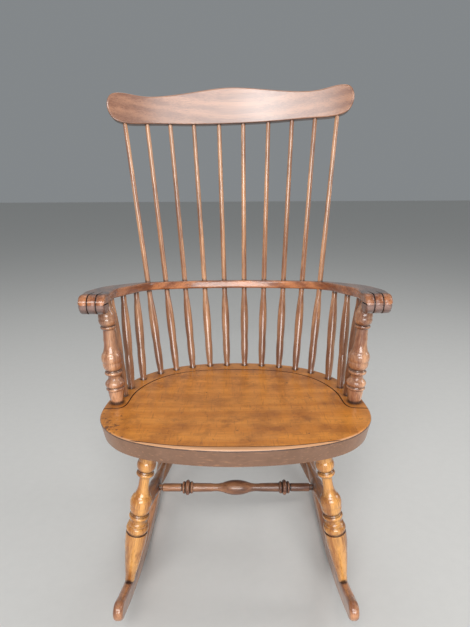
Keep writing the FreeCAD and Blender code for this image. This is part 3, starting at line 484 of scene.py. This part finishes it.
def seatStain():
    stain = Stain("seatPlank")
    here, lying = lineUp(stain, (1, 0, 0))
    look = woods["seat"]
    colour, height, cloud = woodTones(stain, look, lying)
    low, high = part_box("seat")
    x, y = stain.parts(here)[:2]
    across = abs(x / ((high[0] - low[0]) / 2))
    back = (y - low[1]) / (high[1] - low[1])
    colour, rays = plankTop(stain, here, colour, x, across, back)
    # the lip runs along the front, and curves back towards the sides
    flat, second, fourth, eighth = seatEdge["lipCurve"]
    square = across * across
    edge = square * second + square * square * fourth
    edge = edge + square * square * square * square * eighth
    onLip = stain.step(edge + flat - back, *seatEdge["lipFade"])
    colour = stain.blend(onLip, colour, seatEdge["lip"])
    upward = facingUp(stain)
    onFace = stain.step(upward, *seatEdge["faceTurn"])
    colour = stain.blend(onFace, colour, frontFace(stain, here))
    onArris = stain.step(upward, *seatEdge["arrisTurn"]) * stain.step(upward, *seatEdge["arrisEnd"])
    colour = stain.blend(onArris * seatEdge["arrisDeep"], colour, seatEdge["arris"])
    # partly old stain in the gutter line, partly painted shade in recesses and where spindles and posts
    # meet the seat
    shut = stain.step(hollows(stain, look["reach"]), *seatEdge["lineRange"])
    colour = stain.blend(shut * look["hollowDeep"], colour, seatEdge["lineAndShade"])
    dull = cloud * seatEdge["patchDull"] + onFace * seatEdge["faceDull"] + shut * seatEdge["lineDull"]
    tall = height + rays * seatEdge["rayTall"]
    bump = stain.node("Bump", {}, {**seatEdge["bump"], "Height": tall})
    return stain.finish(colour, look["rough"] + dull, bump, look)


def paint(name, material):
    for place in nodes[name].material_slots:
        place.material = material


firstLie = (0.3, 0.4, 0.87)
lieTurns = 12  # plenty for a long, thin piece


def lieOf(name):
    # the longest way through a piece, found by turning a guess towards its spread
    points = [point.co for point in nodes[name].data.vertices]
    middle = sum(points, Vector()) / len(points)
    lie = Vector(firstLie)
    for turn in range(lieTurns):
        lie = sum(((point - middle) * (point - middle).dot(lie) for point in points), Vector())
        lie.normalize()
    return tuple(lie)


groups = [
    ("back_spindle", "spindle"),
    ("arm_spindle", "spindle"),
    ("arm_post", "post"),
    ("front_leg", "leg"),
    ("rear_leg", "rearLeg"),
    ("side_stretcher", "stretcher"),
    ("centre_stretcher", "stretcher"),
]
for start, wood in groups:
    for name in sorted(nodes):
        if name.startswith(start):
            paint(name, turnedStain(name + "Wood", woods[wood], lieOf(name)))
for side in ("left", "right"):
    paint("rocker_" + side, turnedStain("rockerWood" + side, woods["rocker"], (0, 1, 0)))
    paint("hand_hold_" + side, turnedStain("handHold" + side, woods["knuckle"], (1, 0, 0), side))
paint("crest_rail", turnedStain("combWood", woods["comb"], (1, 0, 0)))
paint("arm_bow", bentStain("armWood", woods["arm"]))
paint("seat", seatStain())
print("wood stained")


# camera, light and floor
view = {
    "place": (0.0047, -1.0443, 0.8752),
    "down": 0.2901,  # radians below the level
    "aside": -0.0054,
    "roll": -0.0052,
    "lens": 26.77,
    "sensor": 36,
    "near": 0.01,
}


def setCamera():
    eye = bpy.data.cameras.new("viewEye")
    eye.lens = view["lens"]
    eye.sensor_width = view["sensor"]
    eye.clip_start = view["near"]
    camera = bpy.data.objects.new("viewEye", eye)
    bpy.context.scene.collection.objects.link(camera)
    camera.location = view["place"]
    level = math.cos(view["down"])
    ahead = Vector((
        math.sin(view["aside"]) * level,
        math.cos(view["aside"]) * level,
        -math.sin(view["down"]),
    ))
    right = Vector((math.cos(view["aside"]), -math.sin(view["aside"]), 0))
    up = right.cross(ahead)
    tipped = right * math.cos(view["roll"]) + up * math.sin(view["roll"])
    upright = up * math.cos(view["roll"]) - right * math.sin(view["roll"])
    turn = camera.rotation_euler.to_matrix()
    turn.col[0] = tipped
    turn.col[1] = upright
    turn.col[2] = -ahead
    camera.rotation_euler = turn.to_euler()
    bpy.context.scene.camera = camera


studio = {
    "floorColour": seen(226, 224, 220),
    "floorSize": 30.0,
    "floorSpecks": 40.0,
    "floorDeeper": 0.94,  # how dark a speck is beside the paper
    "floorRough": 0.75,
    "speckRough": 0.1,
    "floorBump": {"Strength": 0.05, "Distance": 0.001},
    "floorGloss": {"coat": 0.0, "coatRough": 0.3},
    "sky": seen(214, 220, 224),
    "skyStrength": 0.34,
    # place, aimed at, width, height, watts
    "softboxes": [
        ((-0.25, -3.1, 3.1), (-0.03, 0.2, 0.9), 2.9, 1.1, 66),
        ((-0.40, -2.2, 2.67), (-0.05, 0.25, 1.02), 0.42, 0.9, 8),
        ((0.15, -3.0, 1.15), (0.0, 0.1, 0.7), 1.9, 0.9, 45),
        ((-2.2, 0.2, 1.7), (0.0, 0.1, 0.6), 0.7, 1.4, 3),
        ((2.2, 0.0, 1.7), (0.0, 0.1, 0.6), 0.7, 1.4, 12),
        ((0.0, 1.2, 3.2), (0.0, 0.0, 0.6), 2.0, 1.4, 14),
    ],
}


def setStudio():
    # a pale floor that runs to the horizon
    reach = studio["floorSize"] / 2
    mesh = bpy.data.meshes.new("studioFloor")
    corners = [(-reach, -reach, 0), (reach, -reach, 0), (reach, reach, 0), (-reach, reach, 0)]
    mesh.from_pydata(corners, [], [(0, 1, 2, 3)])
    floor = bpy.data.objects.new("studioFloor", mesh)
    bpy.context.scene.collection.objects.link(floor)
    paper = Stain("paleFloor")
    here = paper.node("TexCoord", output=3)
    speck = paper.noise(here, studio["floorSpecks"], detail=4.0, rough=0.6)
    deeper = tuple(part * studio["floorDeeper"] for part in studio["floorColour"])
    colour = paper.blend(speck, studio["floorColour"], deeper)
    rough = studio["floorRough"] + speck * studio["speckRough"]
    bump = paper.node("Bump", {}, {**studio["floorBump"], "Height": speck})
    mesh.materials.append(paper.finish(colour, rough, bump, studio["floorGloss"]))

    world = bpy.data.worlds.new("studioAir")
    bpy.context.scene.world = world
    world.use_nodes = True
    air = world.node_tree.nodes["Background"]
    air.inputs["Color"].default_value = (*studio["sky"], 1)
    air.inputs["Strength"].default_value = studio["skyStrength"]

    for i, (place, aim, width, height, watts) in enumerate(studio["softboxes"]):
        lamp = bpy.data.lights.new(f"softbox{i + 1}", "AREA")
        lamp.shape = "RECTANGLE"
        lamp.size = width
        lamp.size_y = height
        lamp.energy = watts
        holder = bpy.data.objects.new(f"softbox{i + 1}", lamp)
        bpy.context.scene.collection.objects.link(holder)
        holder.location = place
        holder.rotation_euler = (Vector(aim) - Vector(place)).to_track_quat("-Z", "Y").to_euler()


setCamera()
setStudio()
bpy.context.scene.view_settings.view_transform = "Standard"
print("camera, light and floor set")
